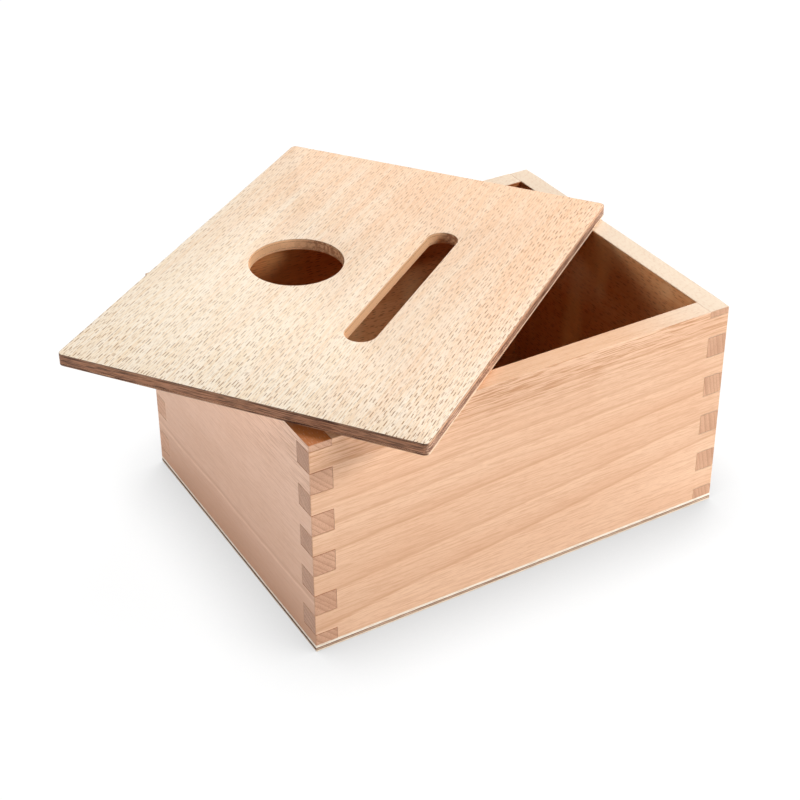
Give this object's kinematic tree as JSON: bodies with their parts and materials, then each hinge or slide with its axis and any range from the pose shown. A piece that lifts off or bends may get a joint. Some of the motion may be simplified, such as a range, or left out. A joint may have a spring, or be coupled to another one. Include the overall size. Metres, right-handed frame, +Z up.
{
  "type": "object permanence box",
  "caption": "Finger-jointed beech box on a plywood base, with a loose plywood lid lying askew on its rim; the lid has a round ball hole and a long coin slot.",
  "frame": {"origin": "middle of the base's underside, which is the face the box stands on", "axes": "+Z up; +X along the front board to the right; +Y from the front board to the back board"},
  "size_m": [0.2662, 0.255, 0.1072],
  "materials": {
    "base_plywood": "matte",
    "front_beech": "satin",
    "side_beech": "satin",
    "lid_plywood": "satin"
  },
  "bodies": {
    "box": {"base_panel": "base_plywood", "front_board": "front_beech", "back_board": "front_beech", "left_board": "side_beech", "right_board": "side_beech"},
    "lid": {"lid_panel": "lid_plywood"}
  },
  "joints": [
    {"name": "lid_lift", "type": "slide", "parent": "box", "child": "lid", "axis": [0, 0, 1], "range_m": [0, 0.12]}
  ]
}
